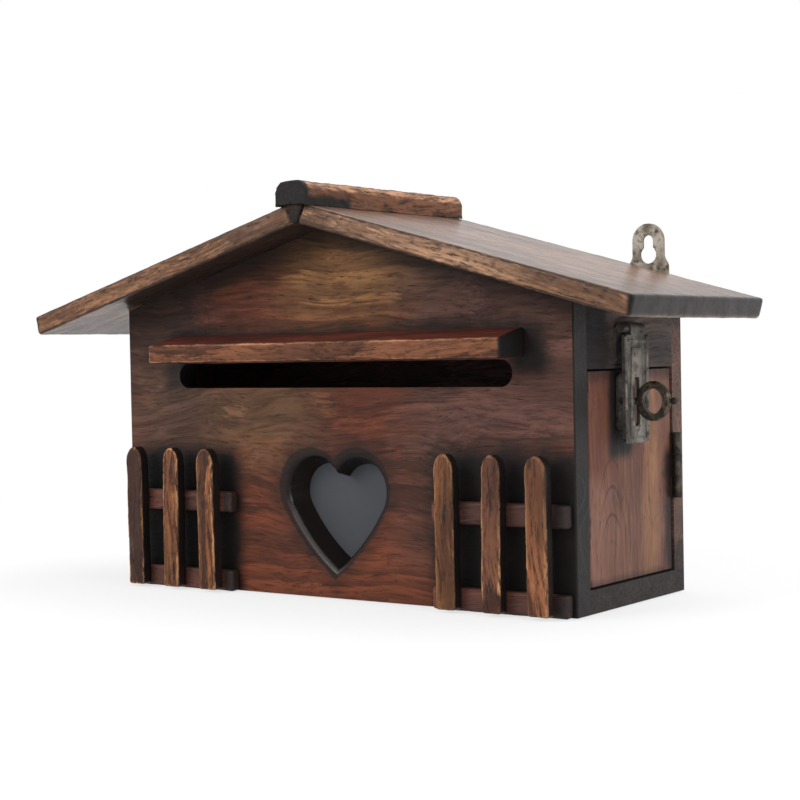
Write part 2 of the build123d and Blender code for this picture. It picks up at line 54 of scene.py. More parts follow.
# %% Camera
camera_place = Vector((577.7, -799.7, 132.9)) * mm
camera_yaw, camera_pitch, camera_roll = (math.radians(angle) for angle in (35.67, 1.612, -1.091))
focal_pixels = 1745.0
picture_width = 800

ahead = Vector((
    -math.sin(camera_yaw) * math.cos(camera_pitch),
    math.cos(camera_yaw) * math.cos(camera_pitch),
    -math.sin(camera_pitch),
))
level_right = ahead.cross(Vector((0, 0, 1))).normalized()
level_up = level_right.cross(ahead)
right = level_right * math.cos(camera_roll) + level_up * math.sin(camera_roll)
up = level_up * math.cos(camera_roll) - level_right * math.sin(camera_roll)

camera_data = bpy.data.cameras.new("camera")
camera_data.sensor_fit = "HORIZONTAL"
camera_data.sensor_width = 36.0
camera_data.lens = camera_data.sensor_width * focal_pixels / picture_width
camera_data.clip_start = 0.01
camera = bpy.data.objects.new("camera", camera_data)
camera.matrix_world = Matrix.Translation(camera_place) @ Matrix((right, up, -ahead)).transposed().to_4x4()
bpy.context.collection.objects.link(camera)
bpy.context.scene.camera = camera
print("lens %.1f mm" % camera_data.lens)

# %% [markdown]
# ## Helpers for nodes
# Materials below are built from many small nodes. One helper adds a node with its settings and plain
# input values, and links what is given as another node's socket, so that each finish reads as a recipe.

# %% Node helpers
def add(tree, kind, inputs=(), **settings):
    """Adds one node. inputs are pairs of socket name or number, and a value or another node's output."""
    made = tree.nodes.new(kind)
    for key, value in settings.items():
        setattr(made, key, value)
    for key, value in dict(inputs).items():
        if isinstance(value, bpy.types.NodeSocket):
            tree.links.new(value, made.inputs[key])
        else:
            made.inputs[key].default_value = value
    made.location = (200 * (len(tree.nodes) % 12), -220 * (len(tree.nodes) // 12))
    return made


def math_step(tree, operation, *values, clamp=False):
    made = add(tree, "ShaderNodeMath", enumerate(values), operation=operation, use_clamp=clamp)
    return made.outputs[0]


def vector_step(tree, operation, *values):
    made = add(tree, "ShaderNodeVectorMath", enumerate(values), operation=operation)
    return made.outputs["Value" if operation in ("LENGTH", "DOT_PRODUCT") else "Vector"]


def fade(tree, value, start, end, low=0.0, high=1.0):
    """Runs smoothly from low, where value is start, to high, where it is end."""
    steps = {"Value": value, "From Min": start, "From Max": end, "To Min": low, "To Max": high}
    return add(tree, "ShaderNodeMapRange", steps, interpolation_type="SMOOTHSTEP").outputs["Result"]


def blend_colours(tree, amount, first, second, kind="MIX"):
    made = add(tree, "ShaderNodeMix", data_type="RGBA", blend_type=kind)
    for socket, value in (("Factor_Float", amount), ("A_Color", first), ("B_Color", second)):
        place = next(item for item in made.inputs if item.identifier == socket)
        if isinstance(value, bpy.types.NodeSocket):
            tree.links.new(value, place)
        else:
            place.default_value = value
    return next(item for item in made.outputs if item.identifier == "Result_Color")


def noise(tree, vector, scale, detail=2.0, roughness=0.5, output="Fac"):
    steps = {"Vector": vector, "Scale": scale, "Detail": detail, "Roughness": roughness}
    return add(tree, "ShaderNodeTexNoise", steps).outputs[output]


def stain(red, green, blue):
    """A colour as seen on a screen, 0 to 255, turned into the linear colour that shaders use."""
    parts = [value / 255 for value in (red, green, blue)]
    return tuple(part / 12.92 if part <= 0.04045 else ((part + 0.055) / 1.055) ** 2.4 for part in parts) + (1,)


def new_group(name, inputs, outputs):
    """Starts a shader node group. inputs and outputs are pairs of name and socket kind, with a default."""
    group = bpy.data.node_groups.new(name, "ShaderNodeTree")
    for label, kind, *default in inputs:
        socket = group.interface.new_socket(name=label, in_out="INPUT", socket_type="NodeSocket" + kind)
        if default:
            socket.default_value = default[0]
    for label, kind in outputs:
        group.interface.new_socket(name=label, in_out="OUTPUT", socket_type="NodeSocket" + kind)
    return group, group.nodes.new("NodeGroupInput").outputs, group.nodes.new("NodeGroupOutput").inputs


def use_group(tree, group, inputs=()):
    made = add(tree, "ShaderNodeGroup", node_tree=group)
    for key, value in dict(inputs).items():
        if isinstance(value, bpy.types.NodeSocket):
            tree.links.new(value, made.inputs[key])
        else:
            made.inputs[key].default_value = value
    return made.outputs


print("node helpers ready")

# %% [markdown]
# ## Floor and backdrop
# The box stands on a plain white floor against white. The floor could simply be lit until it clips, but
# that light would also bleach the wood. So the floor and the world look white only to the camera and to
# mirrors and glass, through the Light Path node, while the light that falls on the box stays plain.

# %% Floor and backdrop
def seen_white(tree):
    """1 for rays from the camera, from gloss and through glass, and 0 for the rays that light things."""
    path = add(tree, "ShaderNodeLightPath").outputs
    glossy = math_step(tree, "MAXIMUM", path["Is Glossy Ray"], path["Is Transmission Ray"])
    return math_step(tree, "MAXIMUM", path["Is Camera Ray"], glossy)


world = bpy.data.worlds.new("studio")
bpy.context.scene.world = world
world.use_nodes = True
tree = world.node_tree
tree.nodes.clear()
room_light = 0.62
strength = fade(tree, seen_white(tree), 0.0, 1.0, room_light, 1.0)
sky = add(tree, "ShaderNodeBackground", {"Color": (1, 1, 1, 1), "Strength": strength})
add(tree, "ShaderNodeOutputWorld", {"Surface": sky.outputs[0]})

bpy.ops.object.select_all(action="DESELECT")
bpy.ops.mesh.primitive_plane_add(size=8, location=(0, 0, -0.0006))
floor = bpy.context.object
floor.name = "floor"
floor_material = bpy.data.materials.new("white_floor")
floor_material.use_nodes = True
tree = floor_material.node_tree
tree.nodes.clear()
paper = add(tree, "ShaderNodeBsdfDiffuse", {"Color": (0.86, 0.86, 0.86, 1)}).outputs[0]
white = add(tree, "ShaderNodeEmission", {"Color": (1, 1, 1, 1), "Strength": 1.0}).outputs[0]
shadow_kept = 0.3
spot = add(tree, "ShaderNodeTexCoord").outputs["Object"]
near_box = fade(tree, vector_step(tree, "LENGTH", spot), 0.7, 0.25, 0.0, shadow_kept)
amount = math_step(tree, "MULTIPLY", seen_white(tree), math_step(tree, "SUBTRACT", 1.0, near_box))
mixed = add(tree, "ShaderNodeMixShader", {0: amount, 1: paper, 2: white}).outputs[0]
add(tree, "ShaderNodeOutputMaterial", {"Surface": mixed})
floor.data.materials.append(floor_material)
bpy.context.scene.view_settings.view_transform = "Standard"
print("floor and backdrop ready")

# %% [markdown]
# ## Lights
# Studio light on such a box is soft: the char keeps its detail and the wax shows only broad highlights.
# A large softbox at the upper left lights the front and the fences from the side that faces away from
# the door, one overhead gives the roof its sheen, and a weak one at the right opens up the door.

# %% Lights
def softbox(name, place, target, size, watts):
    data = bpy.data.lights.new(name, "AREA")
    data.shape = "SQUARE"
    data.size = size
    data.energy = watts
    lamp = bpy.data.objects.new(name, data)
    lamp.location = place
    lamp.rotation_euler = (Vector(target) - Vector(place)).to_track_quat("-Z", "Y").to_euler()
    bpy.context.collection.objects.link(lamp)
    return lamp


softbox("softbox_left", (-0.75, -1.25, 0.95), (0, 0, 0.1), 0.9, 15.0)
softbox("softbox_top", (0.35, 0.35, 1.35), (0.05, 0, 0.15), 1.0, 11.0)
softbox("softbox_right", (1.35, -0.35, 0.55), (0.1, 0, 0.1), 0.8, 7.0)
print("three softboxes")

# %% [markdown]
# ## Grain of torched wood
# Flat-sawn boards show growth rings as long swirling contours, with fine fibres and short dark pores
# along them. A brushed, torched board shows the rings twice, in colour and in relief, because the torch
# eats the soft early wood first. Rings could be a Wave texture, but its bands stay too even. Contour
# lines of a stretched noise bend, close and fork as real ones do, so the group counts those.

# %% Node group: torched grain
grain, given, gives = new_group(
    "torched_grain",
    [("Vector", "Vector"), ("Swirl", "Float", 0.02), ("Rings", "Float", 9.0), ("Stretch", "Float", 0.2)],
    [("Ring", "Float"), ("Fibre", "Float"), ("Pore", "Float"), ("Patch", "Float"), ("Mottle", "Float"),
     ("Height", "Float")],
)
slow = noise(grain, given["Vector"], 11.0, 1.5, output="Color")
centred = vector_step(grain, "SUBTRACT", slow, (0.5, 0.5, 0.5))
swirl = add(grain, "ShaderNodeVectorMath", {0: centred, "Scale": given["Swirl"]}, operation="SCALE").outputs[0]
bent = vector_step(grain, "ADD", given["Vector"], swirl)
along = add(grain, "ShaderNodeCombineXYZ", {"X": given["Stretch"], "Y": 1.0, "Z": 1.0}).outputs[0]
field = noise(grain, vector_step(grain, "MULTIPLY", bent, along), 19.0, 1.0)
fibre = noise(grain, vector_step(grain, "MULTIPLY", bent, (34, 520, 520)), 1.0, 5.0, 0.66)
feathered = math_step(grain, "MULTIPLY_ADD", fibre, 0.5, math_step(grain, "MULTIPLY", field, given["Rings"]))
phase = math_step(grain, "FRACT", feathered)
late_wood = math_step(grain, "MULTIPLY", fade(grain, phase, 0.15, 0.9), fade(grain, phase, 1.0, 0.88))
mottle = noise(grain, vector_step(grain, "MULTIPLY", bent, (62, 430, 430)), 1.0, 5.0, 0.7)
pore_field = noise(grain, vector_step(grain, "MULTIPLY", bent, (75, 1150, 1150)), 1.0, 2.0, 0.6)
pore = fade(grain, pore_field, 0.60, 0.72)
patch = noise(grain, vector_step(grain, "MULTIPLY", bent, (6, 17, 17)), 1.0, 3.0, 0.6)
ribs = math_step(grain, "MULTIPLY", late_wood, 0.5)
streaks = math_step(grain, "MULTIPLY", fibre, 0.6)
relief = math_step(grain, "SUBTRACT", math_step(grain, "ADD", ribs, streaks), math_step(grain, "MULTIPLY", pore, 0.35))
for label, value in (("Ring", late_wood), ("Fibre", fibre), ("Pore", pore), ("Patch", patch), ("Mottle", mottle),
                     ("Height", relief)):
    grain.links.new(value, gives[label])
print("torched_grain:", len(grain.nodes), "nodes")

# %% [markdown]
# ## Places that the torch burned black, and places of painted shade
# The maker holds the torch longer along edges, round the fences and under the roof, and the black fades
# out softly from there. The same boxes also paint shade: the shadow of the fences, the awning and the
# hasp strap, and the shade under the roof. These places could be painted by hand, but a distance from a
# simple box is enough: the group gives 1 inside the box and fades to 0 outside it, with a ragged edge.

# %% Node group: soft box mask
soft_box, given, gives = new_group(
    "soft_box",
    [("Vector", "Vector"), ("Middle", "Vector"), ("Half Size", "Vector"), ("Soft", "Float", 0.01), ("Rag", "Float", 0.004)],
    [("Mask", "Float")],
)
away = vector_step(soft_box, "ABSOLUTE", vector_step(soft_box, "SUBTRACT", given["Vector"], given["Middle"]))
outside = vector_step(soft_box, "MAXIMUM", vector_step(soft_box, "SUBTRACT", away, given["Half Size"]), (0, 0, 0))
distance = vector_step(soft_box, "LENGTH", outside)
ragged = math_step(soft_box, "SUBTRACT", noise(soft_box, given["Vector"], 90.0, 3.0, 0.6), 0.5)
torn = math_step(soft_box, "MULTIPLY_ADD", ragged, given["Rag"], distance)
share = math_step(soft_box, "DIVIDE", torn, given["Soft"])
soft_box.links.new(fade(soft_box, share, 1.0, 0.0), gives["Mask"])
print("soft_box:", len(soft_box.nodes), "nodes")

# %% [markdown]
# ## The burned rim of the heart
# Round the heart the torch followed the sawn outline closely, and boxes can't follow a heart. Each half
# of it is two arcs that run into each other, the lobe and a flatter flank. So this group folds the place
# onto one half, measures how far it is from the arc on its side, and fades the char with that distance.
# The char lies a little to the left of the hole and above it, as in the photograph.

# %% Node group: heart mask
heart_mask, given, gives = new_group(
    "heart_mask",
    [("Vector", "Vector"), ("Inner", "Float", 0.004), ("Outer", "Float", 0.006), ("Rag", "Float", 0.002)],
    [("Mask", "Float")],
)
heart_middle = Vector((0.2, 0, 59.3)) * mm
lobe_middle, lobe_radius = Vector((15.36, 0, 0)) * mm, 18.24 * mm
flank_middle, flank_radius = Vector((-66.44, 0, 47.23)) * mm, 112.7 * mm
parts = add(heart_mask, "ShaderNodeSeparateXYZ", {0: vector_step(heart_mask, "SUBTRACT", given["Vector"], heart_middle)}).outputs
folded = add(heart_mask, "ShaderNodeCombineXYZ", {"X": math_step(heart_mask, "ABSOLUTE", parts["X"]), "Z": parts["Z"]}).outputs[0]
from_lobe = vector_step(heart_mask, "SUBTRACT", folded, lobe_middle)
off_lobe = math_step(heart_mask, "SUBTRACT", vector_step(heart_mask, "LENGTH", from_lobe), lobe_radius)
from_flank = vector_step(heart_mask, "SUBTRACT", folded, flank_middle)
off_flank = math_step(heart_mask, "SUBTRACT", vector_step(heart_mask, "LENGTH", from_flank), flank_radius)
join_side = vector_step(heart_mask, "DOT_PRODUCT", from_lobe, (math.sin(math.radians(30)), 0, math.cos(math.radians(30))))
at_lobe = math_step(heart_mask, "GREATER_THAN", join_side, 0.0)
more = math_step(heart_mask, "SUBTRACT", off_lobe, off_flank)
off_heart = math_step(heart_mask, "MULTIPLY_ADD", at_lobe, more, off_flank)
ragged = math_step(heart_mask, "SUBTRACT", noise(heart_mask, given["Vector"], 150.0, 3.0, 0.6), 0.5)
torn = math_step(heart_mask, "MULTIPLY_ADD", ragged, given["Rag"], off_heart)
heart_mask.links.new(fade(heart_mask, torn, given["Outer"], given["Inner"]), gives["Mask"])
print("heart_mask:", len(heart_mask.nodes), "nodes")

# %% [markdown]
# ## Stain over the grain
# The stain sinks into the early wood and hardly into the late wood, so one board shows three tones, and
# it takes unevenly from place to place. This group lays those tones over the grain and darkens the
# pores. The char comes last, on top of the stain, and flattens the colour to a brown black. The same
# black also lays the painted shade under the roof and the painted shadows of the fences, awning and hasp.

# %% Node group: stained wood
stained, given, gives = new_group(
    "stained_wood",
    [
        ("Ring", "Float"), ("Fibre", "Float"), ("Pore", "Float"), ("Patch", "Float"), ("Mottle", "Float"),
        ("Char", "Float"), ("Light", "Color"), ("Middle", "Color"), ("Dark", "Color"), ("Black", "Color"),
        ("Contrast", "Float", 0.7), ("Broken", "Float", 0.3),
    ],
    [("Color", "Color")],
)
tone = blend_colours(stained, fade(stained, given["Patch"], 0.38, 0.64), given["Middle"], given["Light"])
lit = math_step(stained, "MULTIPLY", fade(stained, given["Mottle"], 0.54, 0.68), given["Broken"])
tone = blend_colours(stained, lit, tone, given["Light"])
bright = add(stained, "ShaderNodeHueSaturation", {"Value": 1.5, "Color": given["Light"]}).outputs[0]
shining = math_step(stained, "MULTIPLY", fade(stained, given["Mottle"], 0.58, 0.72), given["Broken"])
tone = blend_colours(stained, shining, tone, bright)
pale_thread = math_step(stained, "MULTIPLY", fade(stained, given["Fibre"], 0.52, 0.66, 0.0, 0.65), given["Contrast"])
tone = blend_colours(stained, pale_thread, tone, bright)
ringed = math_step(stained, "MULTIPLY", given["Ring"], given["Contrast"])
tone = blend_colours(stained, ringed, tone, given["Dark"])
thread = math_step(stained, "MULTIPLY", fade(stained, given["Fibre"], 0.53, 0.36), 1.0)
tone = blend_colours(stained, math_step(stained, "MULTIPLY", thread, given["Contrast"]), tone, given["Dark"])
sooty = math_step(stained, "MULTIPLY", fade(stained, given["Mottle"], 0.47, 0.33), given["Broken"])
tone = blend_colours(stained, sooty, tone, given["Black"])
tone = blend_colours(stained, math_step(stained, "MULTIPLY", given["Pore"], 0.8), tone, given["Black"])
tone = blend_colours(stained, given["Char"], tone, given["Black"])
stained.links.new(tone, gives["Color"])
print("stained_wood:", len(stained.nodes), "nodes")

# %% [markdown]
# ## A recipe for each board's finish
# All boards share the same steps and differ in grain direction, stain and burned places. A function
# takes those as plain values and returns the material. The Principled BSDF stays in the material itself,
# and a coat of wax comes from its roughness, which drops where the brush polished the late wood.

# %% Wood material
black_char = stain(26, 23, 23)
roof_slope = math.tan(math.radians(15.6))
roof_line = 0.159 + 0.150 * roof_slope


def largest(tree, masks):
    total = masks[0]
    for mask in masks[1:]:
        total = math_step(tree, "MAXIMUM", total, mask)
    return total


def wood(name, turn, light, middle, dark, burned=(), swirl=0.02, rings=9.0, stretch=0.2, contrast=0.7,
         broken=0.25, shift=(0, 0, 0), shine=(0.5, 0.7), gloss=0.25, bump=0.35, rim_char=0.0, rim_at=(0.985, 0.9),
         tints=(), face=(0, -1, 0), rubbed=None, arris=None, hollow_char=0.0, eave_char_and_shade=0.0, arches=None,
         under=None, waxed=None, hearts=(), black=black_char):
    """turn brings the grain's direction onto X. burned and tints are boxes in millimetres: middle, half
    size, softness and strength, and for a tint its two colours. The burned boxes hold char, and some of them
    also hold painted shade and painted shadow. face is the direction that rim_char spares,
    and where the stain was rubbed back to rubbed's two colours and, along the edges, to arris.
    hollow_char stays in the carved hollows, and eave_char_and_shade is a band of char and painted shade on a
    wall close under the roof. arches is the middle of a stack of arched rings on the side wall: its place
    along Y and Z, in millimetres. under is a box of painted shade that counts only on faces that look down,
    and waxed one in which the rim shines. hearts are rings of char round the heart: inner and outer
    distance, ragged edge and strength."""
    material = bpy.data.materials.new(name)
    material.use_nodes = True
    tree = material.node_tree
    tree.nodes.clear()
    where = add(tree, "ShaderNodeTexCoord").outputs
    mapped = add(tree, "ShaderNodeMapping", {"Vector": where["Object"], "Location": shift, "Rotation": turn}).outputs[0]
    wood_grain = use_group(tree, grain, {"Vector": mapped, "Swirl": swirl, "Rings": rings, "Stretch": stretch})

    def box_mask(middle_mm, half_mm, soft_mm, strength):
        place = {
            "Vector": where["Object"], "Middle": [value * mm for value in middle_mm],
            "Half Size": [value * mm for value in half_mm], "Soft": soft_mm * mm, "Rag": soft_mm * 0.9 * mm,
        }
        return math_step(tree, "MULTIPLY", use_group(tree, soft_box, place)["Mask"], strength)

    masks = [box_mask(*entry) for entry in burned]
    coat, coat_rough = 0.0, sum(shine) / 2
    facing = vector_step(tree, "DOT_PRODUCT", where["Normal"], face)
    rough = fade(tree, wood_grain["Fibre"], 0.3, 0.7, shine[1], shine[0])
    if rim_char:
        rim = math_step(tree, "MULTIPLY", fade(tree, facing, *rim_at), rim_char)
        masks.append(rim)
        rough = fade(tree, rim, 0.0, 1.0, rough, 0.3)
        if waxed:
            rounding = math_step(tree, "MULTIPLY", fade(tree, facing, 0.99, 0.93), fade(tree, facing, 0.35, 0.6))
            coat = math_step(tree, "MULTIPLY", rounding, box_mask(*waxed))
            coat_rough = 0.26
    for inner, outer, rag, strength in hearts:
        ring = {"Vector": where["Object"], "Inner": inner * mm, "Outer": outer * mm, "Rag": rag * mm}
        masks.append(math_step(tree, "MULTIPLY", use_group(tree, heart_mask, ring)["Mask"], strength))
    # Painted shade on faces that look down, inside a box under the roof's front overhang.
    if under:
        looks_down = vector_step(tree, "DOT_PRODUCT", where["Normal"], (0, 0, -1))
        masks.append(math_step(tree, "MULTIPLY", fade(tree, looks_down, 0.4, 0.8), box_mask(*under)))
    if hollow_char:
        hollow = add(tree, "ShaderNodeAttribute", attribute_name="hollow").outputs["Fac"]
        sunk = math_step(tree, "SUBTRACT", hollow, math_step(tree, "MULTIPLY", wood_grain["Mottle"], 1.3))
        masks.append(math_step(tree, "MULTIPLY", fade(tree, sunk, -0.2, 0.1), hollow_char))
    # A band on the wall just under the roof line: char, and painted shade under the eaves.
    if eave_char_and_shade:
        parts = add(tree, "ShaderNodeSeparateXYZ", {0: where["Object"]}).outputs
        fallen = math_step(tree, "MULTIPLY_ADD", math_step(tree, "ABSOLUTE", parts["X"]), roof_slope, parts["Z"])
        uneven = math_step(tree, "MULTIPLY_ADD", wood_grain["Patch"], 0.03, fallen)
        masks.append(math_step(tree, "MULTIPLY", fade(tree, uneven, roof_line - 0.006, roof_line + 0.014), eave_char_and_shade))
    if arches:
        parts = add(tree, "ShaderNodeSeparateXYZ", {0: where["Object"]}).outputs
        beside = math_step(tree, "SUBTRACT", parts["Y"], arches[0] * mm)
        drop = math_step(tree, "MULTIPLY", math_step(tree, "MULTIPLY", beside, beside), 110.0)
        height = math_step(tree, "MULTIPLY_ADD", wood_grain["Patch"], 0.012, math_step(tree, "ADD", parts["Z"], drop))
        phase = math_step(tree, "FRACT", math_step(tree, "MULTIPLY", height, 72.0))
        line = math_step(tree, "MULTIPLY", fade(tree, phase, 0.8, 0.95), fade(tree, phase, 1.0, 0.96))
        masks.append(math_step(tree, "MULTIPLY", line, box_mask((149, arches[0], arches[1]), (5, 5, 20), 11, 0.6)))
    # char gathers the burned places together with the painted shade and painted shadows above.
    char = largest(tree, masks) if masks else 0.0
    if rubbed:
        bare = fade(tree, facing, 0.55, 0.8)
        coat = fade(tree, bare, 0.0, 1.0, 1.2 * (gloss - 0.1), 0.0)
        gloss = 0.1
        broken = fade(tree, bare, 0.0, 1.0, broken * 0.35, broken)
        light = blend_colours(tree, bare, light, rubbed[0])
        middle = blend_colours(tree, bare, middle, rubbed[1])
    for entry in tints:
        amount = box_mask(*entry[:4])
        light = blend_colours(tree, amount, light, entry[4])
        middle = blend_colours(tree, amount, middle, entry[5])
    if arris:
        edge = math_step(tree, "MULTIPLY", fade(tree, facing, 0.4, 0.62), fade(tree, facing, 0.985, 0.9))
        edge = math_step(tree, "MULTIPLY", edge, fade(tree, wood_grain["Mottle"], 0.4, 0.52))
        light = blend_colours(tree, edge, light, arris)
        middle = blend_colours(tree, edge, middle, arris)
    colour = use_group(tree, stained, {
        "Ring": wood_grain["Ring"], "Fibre": wood_grain["Fibre"], "Pore": wood_grain["Pore"],
        "Patch": wood_grain["Patch"], "Mottle": wood_grain["Mottle"], "Char": char, "Light": light,
        "Middle": middle, "Dark": dark, "Black": black, "Contrast": contrast, "Broken": broken,
    })["Color"]
    normal = add(tree, "ShaderNodeBump", {"Height": wood_grain["Height"], "Strength": bump, "Distance": 0.0006}).outputs[0]
    shader = add(tree, "ShaderNodeBsdfPrincipled", {
        "Base Color": colour, "Roughness": rough, "Normal": normal, "Specular IOR Level": gloss,
        "Coat Weight": coat, "Coat Roughness": coat_rough,
    })
    add(tree, "ShaderNodeOutputMaterial", {"Surface": shader.outputs[0]})
    return material


grain_x = (0, 0, 0)
grain_y = (0, 0, math.radians(-90))
grain_z = (0, math.radians(90), 0)
print("wood recipe ready")

# %% [markdown]
# ## Front board
# The front is one wide board with lively, swirling grain: ochre under the gable and left of the slot,
# red brown round the heart, and mauve towards the right. Black fades out round both fences, beside the
# awning's end, over the awning and under the roof. This black is char, and round the fences and over the
# awning it is also their painted shadow, and under the roof painted shade. The rims of the heart and the
# slot are burned all round.

# %% Front board
front_tints = [
    ((22, -58, 178), (34, 20, 4), 44, 0.95, stain(148, 106, 66), stain(112, 78, 50)),
    ((-74, -58, 102), (44, 20, 4), 46, 0.75, stain(120, 92, 66), stain(88, 66, 48)),
    ((110, -58, 135), (40, 20, 36), 44, 0.85, stain(98, 70, 62), stain(82, 58, 52)),
    ((-130, -58, 130), (24, 20, 40), 40, 0.7, stain(82, 60, 50), stain(62, 46, 40)),
    ((62, -58, 56), (8, 20, 26), 26, 0.6, stain(94, 64, 53), stain(72, 50, 43)),
]
front_char_and_shade = [
    # The two fence boxes: char, and the painted shadow of the pickets and rails on the board.
    ((-114, -58, 28), (42, 20, 46), 13, 1.0),
    ((112, -58, 28), (39, 20, 46), 16, 1.0),
    ((124, -58, 134), (5, 20, 7), 13, 0.95),
    ((-112, -58, 123), (4, 20, 6), 10, 0.85),
    # Over the awning: char and the awning's painted shadow. Top left: char and painted shade under the roof.
    ((5, -58, 140), (118, 20, 3), 10, 0.8),
    ((-135, -58, 160), (20, 20, 6), 30, 0.55),
]
front_finish = wood(
    "front_wood", grain_x, stain(114, 61, 40), stain(86, 46, 32), stain(46, 28, 23), front_char_and_shade,
    swirl=0.03, rings=11.0, stretch=0.13, contrast=0.48, broken=0.3, shift=(0.11, 0.03, 0.02), rim_char=0.97,
    rim_at=(0.965, 0.84), gloss=0.14, tints=front_tints, eave_char_and_shade=0.85, black=stain(23, 21, 20),
    waxed=((-14, -58, 30), (12, 20, 16), 12, 1.0), hearts=((3.2, 6.2, 2.4, 0.9), (3, 16, 7, 0.5)),
)
print("front board finish")

# %% [markdown]
# ## The other boards of the carcase
# Side wall, back, base and the board over the door come from the same stack of stained boards, but the
# side frames were torched nearly black. The base shows its end grain beside the door.

# %% Carcase boards
dark_finish = wood(
    "charred_board", grain_x, stain(60, 55, 54), stain(52, 47, 46), stain(38, 35, 35), rings=8.0,
    contrast=0.35, broken=0.1, shift=(0.31, 0.2, 0.1), shine=(0.55, 0.75), gloss=0.14,
)
top_board_finish = wood(
    "top_board_wood", grain_y, stain(88, 76, 70), stain(72, 62, 58), stain(44, 39, 38),
    [((150, -44, 140), (4, 14, 30), 14, 1.0)], rings=7.0, contrast=0.7, shift=(0.5, 0.13, 0.4), shine=(0.55, 0.75),
)
back_finish = wood(
    "back_wood", grain_x, stain(104, 76, 66), stain(82, 58, 52), stain(50, 38, 34),
    [((0, 58, 0), (150, 4, 8), 16, 0.7), ((-150, 58, 80), (5, 6, 90), 12, 0.7), ((150, 46, 4), (4, 14, 16), 14, 0.8)],
    swirl=0.04, rings=9.0, shift=(0.7, 0.4, 0.3), eave_char_and_shade=0.7,
)
side_finish = wood(
    "side_wood", grain_y, stain(106, 72, 56), stain(82, 54, 44), stain(50, 36, 32),
    [((-150, -50, 80), (4, 8, 90), 14, 0.9), ((-150, 0, 12), (4, 60, 6), 14, 0.8), ((-150, 0, 165), (4, 60, 8), 14, 0.8)],
    swirl=0.04, rings=9.0, shift=(0.2, 0.9, 0.5),
)
print("carcase finishes")

# %% [markdown]
# ## Door
# The door is flat-sawn, so its rings stand as tall arches over one another. Its edges are burned, most
# along the hinge and at the lower corner. Beside the hasp strap the black is char, and also the strap's
# painted shadow on the door.

# %% Door
door_finish = wood(
    "door_wood", grain_z, stain(122, 86, 72), stain(100, 68, 57), stain(72, 47, 40),
    [
        ((149, 47, 34), (4, 4, 38), 11, 0.9), ((149, 0, 12), (4, 50, 1), 5, 0.6), ((149, 0, 121), (4, 44, 2), 6, 0.6),
        # Beside the hasp strap: char, and the strap's painted shadow on the door.
        ((149, -10, 106), (4, 8, 26), 8, 1.0),
    ],
    swirl=0.02, rings=4.0, stretch=0.1, contrast=0.3, broken=0.1, shift=(0.42, 0.1, 0.66), arches=(-20, 60),
    tints=[((149, -30, 98), (6, 10, 24), 16, 0.85, stain(104, 58, 42), stain(84, 48, 36)),
           ((149, 22, 60), (6, 3, 50), 10, 0.7, stain(160, 118, 86), stain(134, 94, 70))],
)
print("door finish")

# %% [markdown]
# ## Roof, ridge, awning and fences
# The roof's top is the smoothest surface, brown grey with grain down the slope. Its front edges are
# chiselled rough and rubbed back to golden wood, and the underside of its front overhang gets painted
# shade. The ridge, the awning and the pickets were rubbed back the same way, while their sides and ends
# stay black. On the ridge's right side part of that black is painted shade.

# %% Roof and trim finishes
roof_rubbed = (stain(146, 106, 78), stain(96, 67, 50))


def roof_wood(name, tilt, shift, tints=()):
    return wood(
        name, (0, math.radians(tilt), 0), stain(134, 102, 85), stain(114, 86, 72), stain(70, 54, 46),
        [((200, 0, 150), (3, 90, 8), 3, 0.97), ((-200, 0, 150), (3, 90, 8), 3, 0.97),
         ((190, 0, 153), (6, 60, 4), 30, 0.4), ((-190, 0, 153), (6, 60, 4), 30, 0.4),
         ((0, -66, 186), (130, 2, 10), 10, 0.5)],
        rings=6.0, stretch=0.12, contrast=0.65, shift=shift, shine=(0.25, 0.37), gloss=0.3, bump=0.25,
        rubbed=roof_rubbed, arris=stain(60, 44, 36), hollow_char=0.35, broken=0.85,
        # under: painted shade on the down-facing underside of the roof's front overhang.
        under=((0, -70, 175), (134, 14, 40), 10, 0.82), tints=tints,
    )


roof_left_finish = roof_wood("roof_wood_left", 15.6, (0.4, 0.2, 0.3))
pale_front = ((75, -90, 183), (45, 4, 14), 28, 0.75, stain(182, 142, 112), stain(126, 95, 76))
roof_right_finish = roof_wood("roof_wood_right", -15.6, (0.1, 0.5, 0.0), [pale_front])
ridge_finish = wood(
    "ridge_wood", grain_y, stain(118, 80, 60), stain(88, 57, 44), stain(50, 34, 29),
    # The two boxes at X 10 mm paint shade on the ridge's right side; the others are char.
    [((0, -90, 210), (14, 2.4, 24), 2.5, 1.0), ((10, -70, 208.5), (5, 17, 4.5), 5, 1.0), ((10, 46, 206), (5, 16, 3), 5, 0.9),
     ((0, -88, 203), (6, 4, 5), 2, 1.0)],
    rings=7.0, stretch=0.08, contrast=0.7, shift=(0.3, 0.2, 0.9), hollow_char=0.3, broken=0.7,
    face=(1, 0, 0), arris=stain(176, 132, 102), gloss=0.15,
)
awning_finish = wood(
    "awning_wood", grain_x, stain(100, 46, 31), stain(80, 35, 25), stain(44, 28, 24),
    [((122.5, -70, 134), (0.5, 14, 10), 2.0, 1.0)], rings=7.0, stretch=0.15, contrast=0.6, shift=(0.15, 0.7, 0.2),
    rubbed=(stain(122, 78, 54), stain(88, 54, 39)), arris=stain(170, 122, 92), hollow_char=0.25, broken=0.6,
)
